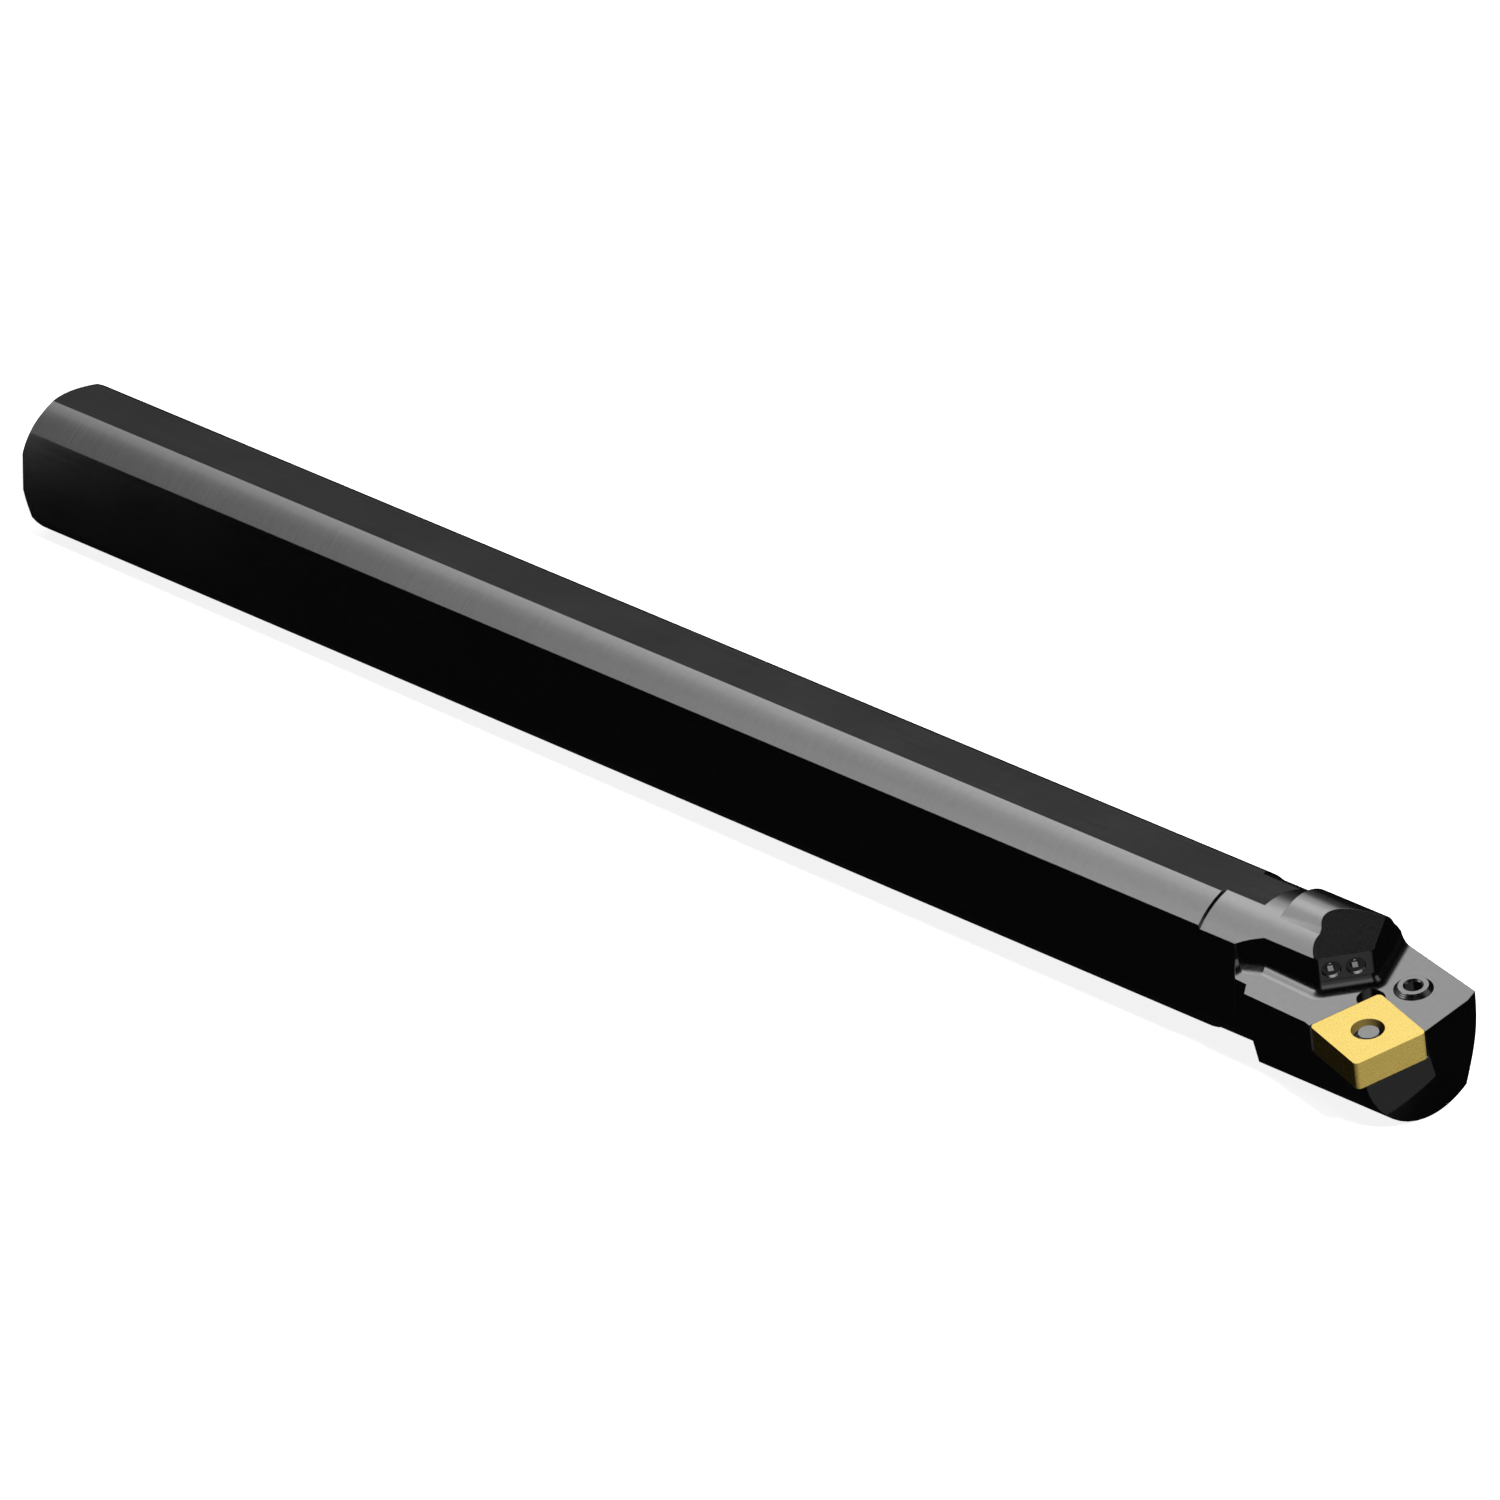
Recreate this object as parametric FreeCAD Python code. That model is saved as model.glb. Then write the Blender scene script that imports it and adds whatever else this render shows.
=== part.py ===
import FreeCAD, Part
import math
import os

# Internal boring bar with a square insert held by a lever and its screw.
# Millimetres. The bar lies along +X with its rear face at x = 0. The top flat
# faces +Z and the cutting edge points to -Y.

V = FreeCAD.Vector
X_AXIS = V(1, 0, 0)
Z_AXIS = V(0, 0, 1)
FAR = 60.0

# Shank
SHANK_R = 12.5
REAR_CHAMFER = 2.0
FLAT_HEIGHT = 11.5
SIDE_FLAT = 10.0
GROUND_END = 261.0
NECK_R = 12.165
FLAT_END = 269.0
SIDE_FLAT_END = 268.65

# Head
HEAD_START = 273.0
HEAD_R = 14.0
HEAD_OFFSET = 1.25
FRONT_X = 302.93
FRONT_DISC_R = 6.31
FRONT_CONE_DEG = 16.3
FAR_FLAT_DEG = 9.4
FAR_FLAT_X = 287.51
FAR_FLAT_Y = 9.27
FLANK_Y = 13.85
FLANK_Z = 1.85
FLANK_DEG = 20.0
CORNER_DEG = 35.3
CORNER_Y = 12.27

# Turret above the rake face: its walls stand square to that face
WALL_INSET = 3.865
WALL_Z = 8.9
RUN_END_DROP = 0.41
RUN_SAG = 0.97
HUMP_R = 7.35
HUMP_Y = 0.95
HUMP_Z = 6.27
HUMP_BLEND_R = 4.0
NOZZLE_FACE_AT = (283.75, -7.92, 8.86)
NOZZLE_FACE_DEG = 50.0
BROW_DEG = 19.5
CHEEK_AT = (287.64, 1.65, 11.6)
CHEEK_DEG = 112.9
CHEEK_R = 1.0
WALL_CORNER_R = 1.2
FOOT_R = 2.0

# Cutting edge and insert
NOSE_X = 300.0
NOSE_Y = 17.0
RAKE_X_DEG = 2.735
RAKE_Y_DEG = 11.765
LEAD_DEG = 15.0
INSERT_SIDE = 12.7
INSERT_THICK = 4.76
INSERT_HOLE_R = 2.58
INSERT_NOSE_R = 0.8

# Pocket
SIDE_SETBACK = 1.4
FRONT_SETBACK = 0.15
RELIEF_R = 2.2
RELIEF_AT = (11.0, 12.55)
RELIEF_DEPTH = 5.6

# Clamp: distances are measured from the rake face, down into the head
SCREW_AT = (17.3, 10.45)
SCREW_BORE_R = 3.05
SCREW_BORE_DEPTH = 12.4
SCREW_GAP = 0.05
SCREW_PROUD = 0.67
SCREW_CHAMFER = 0.63
SCREW_WAIST_R = 1.7
SCREW_LENGTH = 11.2
KEY_ACROSS = 2.5
KEY_DEPTH = 3.0
KEY_MOUTH_R = 1.6
ARM_TOP = 6.3
ARM_THICK = 2.0
ARM_WIDTH = 3.4
ARM_GAP = 0.05
HEEL_R = 1.85
WAIST_HEIGHT = 2.5
POST_R = 2.4
POST_TOP = 0.6
POST_TOP_R = 1.61
POST_WAIST_R = 1.75
CAVITY_DEPTH = 9.3
CAVITY_R = 2.8
CAVITY_GAP = 0.4

# Coolant
MAIN_BORE_R = 3.0
MAIN_BORE_END = 267.0
INLET_R = 4.4
INLET_LENGTH = 12.0
NOZZLE_R = 1.5
NOZZLE_LENGTH = 4.0
NOZZLE_RECESS = 0.7
NOZZLE_DROP = 2.3
NOZZLE_ALONG = (1.8, 5.55)
NOZZLE_KEY = 1.5
NOZZLE_KEY_DEPTH = 1.4
NOZZLE_JET_R = 0.5
BRANCH_R = 0.9


def unit(x, y, z):
    """Return the unit vector along x, y, z."""
    v = V(x, y, z)
    v.normalize()
    return v


def half_space(point, normal, reach=FAR):
    """Block that fills the side of a plane its normal points to."""
    block = Part.makeBox(2 * reach, 2 * reach, reach, V(-reach, -reach, 0))
    block.Placement = FreeCAD.Placement(point, FreeCAD.Rotation(Z_AXIS, normal))
    return block


def rod(radius, start, end):
    """Round rod between two points."""
    way = end.sub(start)
    return Part.makeCylinder(radius, way.Length, start, way)


def turned(points):
    """Solid turned about the bar axis from (x, radius) points."""
    wire = Part.makePolygon([V(x, r, 0) for x, r in points + points[:1]])
    return Part.Face(wire).revolve(V(0, 0, 0), X_AXIS, 360)


def turned_upright(points):
    """Solid turned about the local z axis from (radius, z) points."""
    wire = Part.makePolygon([V(r, 0, z) for r, z in points + points[:1]])
    return Part.Face(wire).revolve(V(0, 0, 0), Z_AXIS, 360)


def prism(outline, low, high):
    """Upright prism over a closed wire drawn at z = 0."""
    solid = Part.Face(outline).extrude(V(0, 0, high - low))
    solid.translate(V(0, 0, low))
    return solid


def hexagon(across, low, high):
    """Hexagonal prism about the local z axis."""
    r = across / math.sqrt(3)
    turns = [math.radians(60 * i) for i in range(7)]
    wire = Part.makePolygon([V(r * math.cos(a), r * math.sin(a), 0) for a in turns])
    return prism(wire, low, high)


# The insert frame: local x runs along the front edge away from the nose, local
# y along the side edge, local z is the normal of the rake face.
NOSE = V(NOSE_X, -NOSE_Y, 0)
RAKE_N = unit(math.tan(math.radians(RAKE_X_DEG)), -math.tan(math.radians(RAKE_Y_DEG)), 1)
LEAD_X = math.sin(math.radians(LEAD_DEG))
LEAD_Y = math.cos(math.radians(LEAD_DEG))
EDGE_E = unit(LEAD_X, LEAD_Y, -(LEAD_X * RAKE_N.x + LEAD_Y * RAKE_N.y) / RAKE_N.z)
EDGE_S = RAKE_N.cross(EDGE_E)


def seat_point(e, s, height=0.0):
    """World point of local insert coordinates."""
    return NOSE + EDGE_E * e + EDGE_S * s + RAKE_N * height


def place_at(solid, origin, x_way, z_way):
    """Move a solid from its own frame to an origin with given x and z ways."""
    y_way = z_way.cross(x_way)
    solid.Placement = FreeCAD.Placement(FreeCAD.Matrix(
        x_way.x, y_way.x, z_way.x, origin.x,
        x_way.y, y_way.y, z_way.y, origin.y,
        x_way.z, y_way.z, z_way.z, origin.z,
        0, 0, 0, 1))
    return solid


def in_seat(solid, e=0.0, s=0.0):
    """Place a solid drawn in insert coordinates."""
    return place_at(solid, seat_point(e, s), EDGE_E, RAKE_N)


# The clamp lever reaches from the insert centre to the screw.
MIDDLE = INSERT_SIDE / 2
REACH_E = SCREW_AT[0] - MIDDLE
REACH_S = SCREW_AT[1] - MIDDLE
REACH = math.hypot(REACH_E, REACH_S)
REACH_WAY = EDGE_E * (REACH_E / REACH) + EDGE_S * (REACH_S / REACH)


def at_lever(solid):
    """Place a solid drawn with the post on z and the arm along x."""
    return place_at(solid, seat_point(MIDDLE, MIDDLE), REACH_WAY, RAKE_N)


def rake_way(plan_deg):
    """Direction in the rake face that shows this angle from +X in plan."""
    turn = math.radians(plan_deg)
    fall = math.cos(turn) * RAKE_N.x + math.sin(turn) * RAKE_N.y
    return unit(math.cos(turn), math.sin(turn), -fall / RAKE_N.z)


# The nozzle face stands square to the rake face and looks at the cutting edge.
NOZZLE_WAY = rake_way(NOZZLE_FACE_DEG)
NOZZLE_N = NOZZLE_WAY.cross(RAKE_N)
NOZZLE_TOP = V(*NOZZLE_FACE_AT)


def nozzle_point(along, depth):
    """Point behind the nozzle face on the line of the nozzles."""
    return NOZZLE_TOP + NOZZLE_WAY * along - RAKE_N * NOZZLE_DROP - NOZZLE_N * depth


def shank():
    """Ground shank with chamfered rear end and the neck before the head."""
    solid = turned([
        (0, 0), (0, SHANK_R - REAR_CHAMFER), (REAR_CHAMFER, SHANK_R),
        (GROUND_END, SHANK_R), (GROUND_END + SHANK_R - NECK_R, NECK_R),
        (HEAD_START, NECK_R), (HEAD_START, 0)])
    for z in (FLAT_HEIGHT, -FLAT_HEIGHT - SHANK_R):
        flat = Part.makeBox(FLAT_END + 1, 2 * FAR, SHANK_R, V(-1, -FAR, z))
        solid = solid.cut(flat)
    side = Part.makePolygon([
        V(-1, -SIDE_FLAT, 0), V(SIDE_FLAT_END, -SIDE_FLAT, 0),
        V(SIDE_FLAT_END + SIDE_FLAT, -2 * SIDE_FLAT, 0), V(-1, -2 * SIDE_FLAT, 0),
        V(-1, -SIDE_FLAT, 0)])
    return solid.cut(prism(side, -FAR, FAR))


def chip_run():
    """Cutter run of the chip space that ends in the side flat."""
    wall_y = NECK_R - WALL_INSET
    start = V(SIDE_FLAT_END, -SIDE_FLAT - RUN_END_DROP, WALL_Z)
    middle = V((HEAD_START + SIDE_FLAT_END) / 2, -wall_y - RUN_SAG, WALL_Z)
    end = V(HEAD_START, -wall_y, WALL_Z)
    corners = [end, end + V(1, 0, 0), end + V(1, -FAR, 0), start + V(0, -FAR, 0), start]
    edges = [Part.makeLine(p, q) for p, q in zip(corners, corners[1:])]
    face = Part.Face(Part.Wire([Part.Arc(start, middle, end).toShape()] + edges))
    face.translate(RAKE_N * -FAR)
    run = face.extrude(RAKE_N * 2 * FAR).common(half_space(NOSE, RAKE_N))
    return run.common(half_space(V(SIDE_FLAT_END, 0, 0), X_AXIS))


def head_round(length):
    """Eccentric round stock of the head."""
    return Part.makeCylinder(HEAD_R, length, V(HEAD_START, -HEAD_OFFSET, 0), X_AXIS)


def turret():
    """Block with the nozzles that stands on the rake face."""
    length = FRONT_X - HEAD_START
    hub = V(HEAD_START, 0, 0)
    core = Part.makeCylinder(NECK_R, length, hub, X_AXIS)
    far_side = Part.makeCylinder(SHANK_R, length, hub, X_AXIS)
    far_side = far_side.common(half_space(hub, V(0, 1, 0)))
    hump = Part.makeCylinder(HUMP_R, length, hub + V(0, HUMP_Y, HUMP_Z), X_AXIS)
    solid = core.multiFuse([hump, far_side]).removeSplitter()
    solid = solid.makeFillet(HUMP_BLEND_R, crease_edges(solid))
    wall_n = X_AXIS.cross(RAKE_N)
    solid = solid.cut(half_space(V(HEAD_START, WALL_INSET - NECK_R, WALL_Z), wall_n))
    solid = solid.cut(half_space(NOZZLE_TOP, NOZZLE_N))
    brow = math.radians(BROW_DEG)
    brow_n = RAKE_N * math.cos(brow) + NOZZLE_N * math.sin(brow)
    solid = solid.cut(half_space(NOZZLE_TOP, brow_n))
    cheek_n = rake_way(CHEEK_DEG).cross(RAKE_N)
    solid = solid.cut(half_space(V(*CHEEK_AT), cheek_n)).removeSplitter()
    near, far = sorted(upright_edges(solid), key=lambda edge: edge.Vertexes[0].Y)
    return solid.makeFillet(WALL_CORNER_R, [near]).makeFillet(CHEEK_R, [far])


def crease_edges(solid):
    """Lines along the bar where the hump meets the round sides."""
    found = []
    for edge in solid.Edges:
        a, b = edge.Vertexes[0].Point, edge.Vertexes[-1].Point
        along = abs(b.x - a.x) > 1 and isinstance(edge.Curve, Part.Line)
        on_hump = abs(math.hypot(a.y - HUMP_Y, a.z - HUMP_Z) - HUMP_R) < 0.001
        round_r = math.hypot(a.y, a.z)
        on_round = min(abs(round_r - NECK_R), abs(round_r - SHANK_R)) < 0.001
        if along and on_hump and on_round:
            found.append(edge)
    return found


def upright_edges(solid):
    """Straight edges that run square to the rake face."""
    found = []
    for edge in solid.Edges:
        ends = [v.Point for v in edge.Vertexes]
        if len(ends) == 2 and isinstance(edge.Curve, Part.Line):
            run = ends[1].sub(ends[0])
            if abs(run.dot(RAKE_N)) > 0.9999 * run.Length:
                found.append(edge)
    return found


def head():
    """Head with rake face, turret, far flat and the cleared cutting side."""
    lower = head_round(FRONT_X - HEAD_START).cut(half_space(NOSE, RAKE_N))
    solid = lower.fuse(turret())
    slope = math.tan(math.radians(FRONT_CONE_DEG))
    rim = FRONT_DISC_R + HEAD_R
    solid = solid.common(turned([
        (HEAD_START, 0), (FRONT_X, 0), (FRONT_X, FRONT_DISC_R),
        (FRONT_X - HEAD_R * slope, rim), (HEAD_START, rim)]))
    far_rad = math.radians(FAR_FLAT_DEG)
    far_n = V(math.sin(far_rad), math.cos(far_rad), 0)
    solid = solid.cut(half_space(V(FAR_FLAT_X, FAR_FLAT_Y, 0), far_n))
    corner_rad = math.radians(CORNER_DEG)
    corner_n = V(-math.cos(corner_rad), -math.sin(corner_rad), 0)
    solid = solid.cut(half_space(V(HEAD_START + 0.1, -CORNER_Y, 0), corner_n))
    return solid.cut(flank_clearance())


def flank_clearance():
    """Room beside the cutting side: behind the insert and under its side."""
    flank_rad = math.radians(FLANK_DEG)
    flank_n = V(0, -math.cos(flank_rad), -math.sin(flank_rad))
    flank = half_space(V(NOSE_X, -FLANK_Y, FLANK_Z), flank_n)
    outside = flank.common(half_space(seat_point(0, 0), EDGE_E * -1))
    below = flank.common(half_space(seat_point(SIDE_SETBACK, 0), EDGE_E * -1))
    below = below.common(half_space(seat_point(0, 0, -INSERT_THICK), RAKE_N * -1))
    front = half_space(seat_point(0, FRONT_SETBACK), EDGE_S * -1)
    return outside.multiFuse([below, front])


def pocket():
    """Insert pocket with its corner relief hole."""
    side = INSERT_SIDE + 10
    room = Part.makeBox(side, side, INSERT_THICK + 5, V(-10, -10, -INSERT_THICK))
    relief = Part.makeCylinder(RELIEF_R, RELIEF_DEPTH + 1, V(*RELIEF_AT, -RELIEF_DEPTH))
    return in_seat(room.fuse(relief))


def clamp_cavity():
    """Bore and slot for the lever, open to the seat and to the screw bore."""
    depth = CAVITY_DEPTH - INSERT_THICK + 0.5
    post = Part.makeCylinder(CAVITY_R, depth, V(0, 0, -CAVITY_DEPTH))
    half = ARM_WIDTH / 2 + CAVITY_GAP
    height = CAVITY_DEPTH - INSERT_THICK
    slot = Part.makeBox(REACH, 2 * half, height, V(0, -half, -CAVITY_DEPTH))
    depth = SCREW_BORE_DEPTH + 3
    screw = Part.makeCylinder(SCREW_BORE_R, depth, V(REACH, 0, -SCREW_BORE_DEPTH))
    return at_lever(post.multiFuse([slot, screw]))


def coolant_ways():
    """Tapped inlet, main bore and the two branches to the nozzle seats."""
    main_end = V(MAIN_BORE_END, 0, 0)
    ways = [
        turned([
            (0, 0), (0, INLET_R), (INLET_LENGTH, INLET_R),
            (INLET_LENGTH, MAIN_BORE_R), (MAIN_BORE_END, MAIN_BORE_R),
            (MAIN_BORE_END + MAIN_BORE_R / 2, 0)])]
    for along in NOZZLE_ALONG:
        inner = nozzle_point(along, NOZZLE_RECESS + NOZZLE_LENGTH - 0.5)
        ways.append(rod(BRANCH_R, inner, main_end))
    for along in NOZZLE_ALONG:
        bottom = nozzle_point(along, NOZZLE_RECESS + NOZZLE_LENGTH)
        ways.append(rod(NOZZLE_R, bottom, nozzle_point(along, -2)))
    return ways


def foot_edges(solid):
    """Edges where the turret and the chip run stand on the rake face."""
    found = []
    for edge in solid.Edges:
        ends = [v.Point for v in edge.Vertexes]
        on_face = all(abs(p.sub(NOSE).dot(RAKE_N)) < 0.001 for p in ends)
        middle = edge.valueAt((edge.FirstParameter + edge.LastParameter) / 2)
        raised = solid.isInside(middle + V(-0.2, 0.1, 0.3), 0.001, True)
        if on_face and raised:
            found.append(edge)
    return found


def bar_body():
    """Shank and head: one piece of hardened and blackened steel."""
    solid = shank().cut(chip_run()).fuse(head()).removeSplitter()
    solid = solid.makeFillet(FOOT_R, foot_edges(solid))
    solid = solid.cut(pocket()).cut(clamp_cavity())
    for way in coolant_ways():
        solid = solid.cut(way)
    return solid


def insert():
    """Square indexable insert with a plain face, a hole and rounded corners."""
    solid = Part.makeBox(INSERT_SIDE, INSERT_SIDE, INSERT_THICK, V(0, 0, -INSERT_THICK))
    upright = [e for e in solid.Edges if abs(e.Vertexes[0].Z - e.Vertexes[1].Z) > 1]
    solid = solid.makeFillet(INSERT_NOSE_R, upright)
    hole = Part.makeCylinder(INSERT_HOLE_R, INSERT_THICK, V(MIDDLE, MIDDLE, -INSERT_THICK))
    return in_seat(solid.cut(hole))


def clamp_lever():
    """Angled lever: barrel post through the insert and arm to the screw."""
    arm_low = -ARM_TOP - ARM_THICK
    knee = arm_low + ARM_THICK / 2
    post = turned_upright([
        (0, -POST_TOP), (POST_TOP_R, -POST_TOP), (POST_R, -POST_TOP - 0.9),
        (POST_R, -POST_TOP - 2.3), (POST_WAIST_R, -INSERT_THICK), (POST_WAIST_R, knee),
        (0, knee)])
    heel = rod(HEEL_R, V(0, -ARM_WIDTH / 2, knee), V(0, ARM_WIDTH / 2, knee))
    shift = INSERT_HOLE_R - POST_R - ARM_GAP
    length = REACH - SCREW_WAIST_R - 0.15 - shift
    arm = Part.makeBox(length, ARM_WIDTH, ARM_THICK, V(0, -ARM_WIDTH / 2, arm_low))
    solid = post.multiFuse([arm, heel])
    solid.translate(V(shift, 0, 0))
    return at_lever(solid.removeSplitter())


def clamp_screw():
    """Clamping screw with hexagon socket and the waist that moves the lever."""
    r = SCREW_BORE_R - SCREW_GAP
    waist_top = -ARM_TOP + ARM_GAP
    waist_low = waist_top - WAIST_HEIGHT
    bottom = SCREW_PROUD - SCREW_LENGTH
    solid = turned_upright([
        (0, SCREW_PROUD), (r - SCREW_CHAMFER, SCREW_PROUD), (r, SCREW_PROUD - SCREW_CHAMFER),
        (r, waist_top), (SCREW_WAIST_R, waist_top), (SCREW_WAIST_R, waist_low),
        (r, waist_low), (r, bottom + SCREW_CHAMFER), (r - SCREW_CHAMFER, bottom), (0, bottom)])
    key = hexagon(KEY_ACROSS, SCREW_PROUD - KEY_DEPTH, SCREW_PROUD + 1)
    mouth = Part.makeCone(0, KEY_MOUTH_R, KEY_MOUTH_R, V(0, 0, SCREW_PROUD - KEY_MOUTH_R))
    return in_seat(solid.cut(key).cut(mouth), *SCREW_AT)


def coolant_nozzle(along):
    """Headless nozzle screw with hexagon socket and a fine jet bore."""
    solid = Part.makeCylinder(NOZZLE_R, NOZZLE_LENGTH)
    jet = Part.makeCylinder(NOZZLE_JET_R, NOZZLE_LENGTH)
    key = hexagon(NOZZLE_KEY, NOZZLE_LENGTH - NOZZLE_KEY_DEPTH, NOZZLE_LENGTH + 1)
    solid = solid.cut(jet).cut(key)
    bottom = nozzle_point(along, NOZZLE_RECESS + NOZZLE_LENGTH)
    return place_at(solid, bottom, NOZZLE_WAY, NOZZLE_N)


os.makedirs("parts", exist_ok=True)
bar_body().exportStep("parts/bar_body.step")
insert().exportStep("parts/insert.step")
clamp_lever().exportStep("parts/clamp_lever.step")
clamp_screw().exportStep("parts/clamp_screw.step")
coolant_nozzle(NOZZLE_ALONG[0]).exportStep("parts/outer_nozzle.step")
coolant_nozzle(NOZZLE_ALONG[1]).exportStep("parts/inner_nozzle.step")
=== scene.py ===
# %% [markdown]
# # A boring bar for internal turning
#
# The real tool is a steel bar, 25 mm thick and 300 mm long. A holder on a lathe
# grips its rear, and the head at its front reaches into a turning workpiece and
# widens a hole with one corner of a small square insert.
#
# Its six pieces come as ready solids, in metres and in their right places: the
# bar, the insert, the lever and the screw that clamp it, and two coolant nozzles.
# They could be modelled again here, but then two shapes of one piece would have
# to agree for ever. So the solids stay untouched, and this lesson adds what they
# lack: the finish of each metal, the thread in the coolant inlet, a floor, the
# light and the camera.

# %% Load the six solids
import math

import bmesh
import bpy
from mathutils import Matrix, Vector


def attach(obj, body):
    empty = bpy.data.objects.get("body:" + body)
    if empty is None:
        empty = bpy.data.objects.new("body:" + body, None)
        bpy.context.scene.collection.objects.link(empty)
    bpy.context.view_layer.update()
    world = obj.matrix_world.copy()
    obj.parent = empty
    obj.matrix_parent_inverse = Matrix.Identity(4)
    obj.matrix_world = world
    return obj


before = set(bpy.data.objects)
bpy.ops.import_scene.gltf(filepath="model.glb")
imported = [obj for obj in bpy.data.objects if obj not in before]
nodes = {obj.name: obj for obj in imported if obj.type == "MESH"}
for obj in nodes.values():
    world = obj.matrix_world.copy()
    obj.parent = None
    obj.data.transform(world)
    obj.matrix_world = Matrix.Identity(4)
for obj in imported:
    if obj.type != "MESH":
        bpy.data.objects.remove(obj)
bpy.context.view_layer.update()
print("pieces:", sorted(nodes))


# %% [markdown]
# ## Blackened steel, step 1: an empty material
#
# The bar is hardened, turned and ground, and then blackened in a salt bath. The
# black film is thin, so every mark of the machines shows through it.
#
# The look could be painted as a picture and wrapped around the bar, but a picture
# turns blurred up close, and it has seams. A tree of nodes works out the colour of
# each point from its place on the bar, so it stays sharp at any distance. Two
# helpers write such a tree: one adds a node, the other fills one of its inputs,
# with a fixed value or with a wire from an earlier node.

# %% Start the material of the bar
def new_material(name):
    """A material with an empty tree."""
    look = bpy.data.materials.new(name)
    look.use_nodes = True
    look.node_tree.nodes.clear()
    return look, look.node_tree


def put(tree, socket, value):
    """Wire an output to an input, or write a fixed value on it."""
    if isinstance(value, bpy.types.NodeSocket):
        tree.links.new(value, socket)
    else:
        socket.default_value = value


def add(tree, kind, **inputs):
    """Add a node and fill the inputs that are named."""
    node = tree.nodes.new(kind)
    for name, value in inputs.items():
        put(tree, node.inputs[name.replace("_", " ")], value)
    return node


def place(tree):
    """The place of each point of a piece: as one vector, and as x, y and z."""
    coords = tree.nodes.new("ShaderNodeTexCoord").outputs["Object"]
    parts = add(tree, "ShaderNodeSeparateXYZ", Vector=coords).outputs
    return coords, parts[0], parts[1], parts[2]


body_look, body_tree = new_material("black_steel_look")
coords, x, y, z = place(body_tree)
print("nodes so far:", len(body_tree.nodes))


# %% [markdown]
# ## Blackened steel, step 2: clouds and blotches
#
# A salt bath never blackens evenly. On the real bar there are soft clouds of a
# finger's width, and within them blotches of about a millimetre.
#
# They could be dabbed on by hand, but no two dabs should look alike, and a hand
# repeats itself. Noise never does. It is taken at two scales here, and read
# through a stretch, which matters in the next step: here the stretch is even, and
# so the clouds are round.

# %% Noise for the clouds and the blotches
EVEN = (1, 1, 1)
CLOUD_SCALE = 70.0        # clouds of about 14 mm
BLOTCH_SCALE = 900.0      # blotches of about 1 mm
BLOTCH_DETAIL = 4.0


def vector_calc(tree, operation, a, b=None):
    """A calculation with vectors."""
    node = tree.nodes.new("ShaderNodeVectorMath")
    node.operation = operation
    put(tree, node.inputs[0], a)
    if b is not None:
        put(tree, node.inputs[1], b)
    return node.outputs


def noise(tree, coords, stretch, scale, detail=3.0):
    """Noise that is squeezed by its own amount along x, y and z."""
    squeezed = vector_calc(tree, "MULTIPLY", coords, stretch)[0]
    node = add(tree, "ShaderNodeTexNoise", Vector=squeezed, Scale=scale, Detail=detail)
    return node.outputs["Fac"]


cloud = noise(body_tree, coords, EVEN, CLOUD_SCALE)
blotch = noise(body_tree, coords, EVEN, BLOTCH_SCALE, BLOTCH_DETAIL)
print("nodes so far:", len(body_tree.nodes))


# %% [markdown]
# ## Blackened steel, step 3: turning and grinding lines
#
# The shank was turned, which leaves fine lines around it. Its flats were ground
# with a wheel that ran to and fro, which leaves lines along it.
#
# Real grooves that fine would need millions of faces. The same noise does it when
# it is squeezed hard across the lines and hardly along them: 3500 waves in a metre
# are lines 0.3 mm apart, and 70 waves in a metre let each run for 14 mm.

# %% Lines around the shank and along its flats
AROUND = (3500, 70, 70)
LENGTHWISE = (50, 3200, 3200)
LINE_DETAIL = 2.0

around = noise(body_tree, coords, AROUND, 1.0, LINE_DETAIL)
lengthwise = noise(body_tree, coords, LENGTHWISE, 1.0, LINE_DETAIL)
print("distance of the turning lines in mm:", round(1000 / AROUND[0], 2))


# %% [markdown]
# ## Blackened steel, step 4: milling arcs on the head
#
# The flat on which the chips slide is the rake face. It leans out of level by some
# degrees, to give the cutting edge its clearance, and the screw and the lever stand
# square to it. A milling cutter that turned about this direction left faint arcs.
#
# Rings could come from a ready wave texture, but that one turns about the axes of
# the piece only. So the distance from a leaning axis is worked out: the arm from
# the centre to the point, crossed with the axis, is as long as that distance. A
# sine of it gives one crest per pitch. Every turned piece below uses it again.

# %% Arcs about the cutter's axis
RAKE_NORMAL = Vector((0.046716, -0.203675, 0.977923))
CUTTER_CENTRE = (0.262, 0.021, 0.0)
CUTTER_PITCH = 0.00035


def calc(tree, operation, a, b=0.0):
    """A calculation with numbers."""
    node = tree.nodes.new("ShaderNodeMath")
    node.operation = operation
    put(tree, node.inputs[0], a)
    put(tree, node.inputs[1], b)
    return node.outputs[0]


def reach_from(tree, coords, centre, axis):
    """Distance of each point from an axis through a centre."""
    arm = vector_calc(tree, "SUBTRACT", coords, centre)[0]
    across = vector_calc(tree, "CROSS_PRODUCT", arm, axis)[0]
    return vector_calc(tree, "LENGTH", across)["Value"]


def rings(tree, coords, centre, axis, pitch):
    """Turning marks: a wave that runs out from an axis, one crest each pitch."""
    reach = reach_from(tree, coords, centre, axis)
    return calc(tree, "SINE", calc(tree, "MULTIPLY", reach, 2 * math.pi / pitch))


milled = rings(body_tree, coords, CUTTER_CENTRE, RAKE_NORMAL, CUTTER_PITCH)
lean = math.degrees(RAKE_NORMAL.angle(Vector((0, 0, 1))))
print("the rake face leans by", round(lean, 1), "degrees")


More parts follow.
